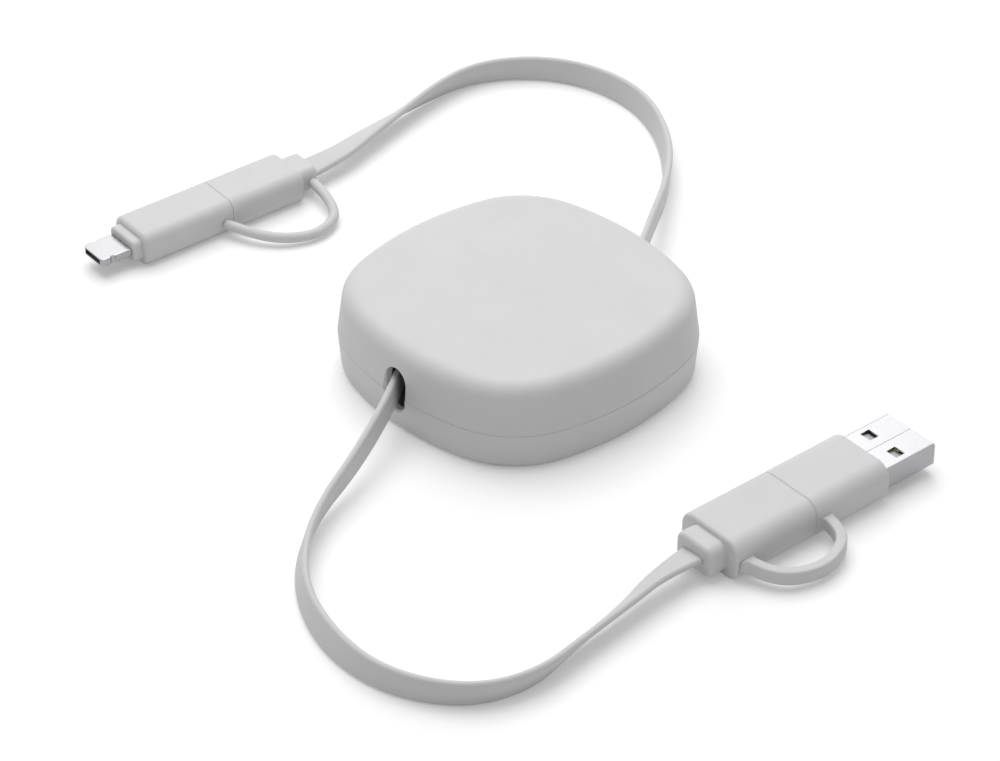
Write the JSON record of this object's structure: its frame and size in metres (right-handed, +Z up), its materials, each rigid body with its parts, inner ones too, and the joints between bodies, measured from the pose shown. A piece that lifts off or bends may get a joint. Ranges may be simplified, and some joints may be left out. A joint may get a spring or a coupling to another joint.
{
  "type": "retractable charging cable",
  "caption": "Pocket charging cable on a spring reel in a rounded-square housing, with slip-off tethered adapters over the type-C plugs at its pulled-out ends.",
  "frame": {"origin": "middle of the housing's underside, on the table", "axes": "+Z up along the reel's axis; +X out of the slot of the phone end's cable, -X out of the other slot"},
  "size_m": [0.157, 0.1622, 0.017],
  "materials": {
    "housing": "satin moulded, pale grey",
    "plug_body": "satin moulded, pale grey",
    "cable_jacket": "smooth satin jacket, pale grey",
    "tether": "soft satin, pale grey",
    "reel": "natural moulded, off-white",
    "spring_steel": "rolled spring strip and wire",
    "plug_metal": "plated, satin",
    "plug_insert": "moulded, black",
    "contact": "gold plated",
    "board": "green solder mask"
  },
  "bodies": {
    "housing": {"top_cover": "housing", "bottom_cover": "housing", "power_spring": "spring_steel", "pawl_spring": "spring_steel", "charger_cord": "cable_jacket", "phone_cord": "cable_jacket", "charger_grip": "plug_body", "charger_c_shell": "plug_metal", "charger_c_insert": "plug_insert", "charger_c_contacts": "contact", "charger_tether": "tether", "phone_grip": "plug_body", "phone_c_shell": "plug_metal", "phone_c_insert": "plug_insert", "phone_c_contacts": "contact", "phone_tether": "tether"},
    "reel": {"spool": "reel", "spring_cap": "reel", "wound_cable": "cable_jacket"},
    "lock_lever": {"pawl": "reel"},
    "charger_adapter": {"charger_adapter_body": "plug_body", "charger_socket_shell": "plug_metal", "charger_socket_tongue": "plug_insert", "charger_board": "board", "type_a_shell": "plug_metal", "type_a_insert": "plug_insert", "type_a_contacts": "contact"},
    "phone_adapter": {"phone_adapter_body": "plug_body", "phone_socket_shell": "plug_metal", "phone_socket_tongue": "plug_insert", "phone_board": "board", "slim_plug_blade": "plug_metal", "slim_plug_insert": "plug_insert"}
  },
  "joints": [
    {"name": "reel_spin", "type": "hinge", "parent": "housing", "child": "reel", "pos_m": [0, 0, 0], "axis": [0, 0, 1], "range_deg": [-500, 800], "deforming": ["power_spring"]},
    {"name": "lock_swing", "type": "hinge", "parent": "housing", "child": "lock_lever", "pos_m": [0, -0.017, 0], "axis": [0, 0, 1], "range_deg": [0, 25], "stiffness_Nm_per_rad": 0.0005, "springref_deg": -20.05, "deforming": ["pawl_spring"]},
    {"name": "charger_adapter_slide", "type": "slide", "parent": "housing", "child": "charger_adapter", "axis": [0.999, -0.0454, 0], "range_m": [0, 0.01], "deforming": ["charger_tether"]},
    {"name": "phone_adapter_slide", "type": "slide", "parent": "housing", "child": "phone_adapter", "axis": [-0.9969, 0.0785, 0], "range_m": [0, 0.01], "deforming": ["phone_tether"]}
  ]
}
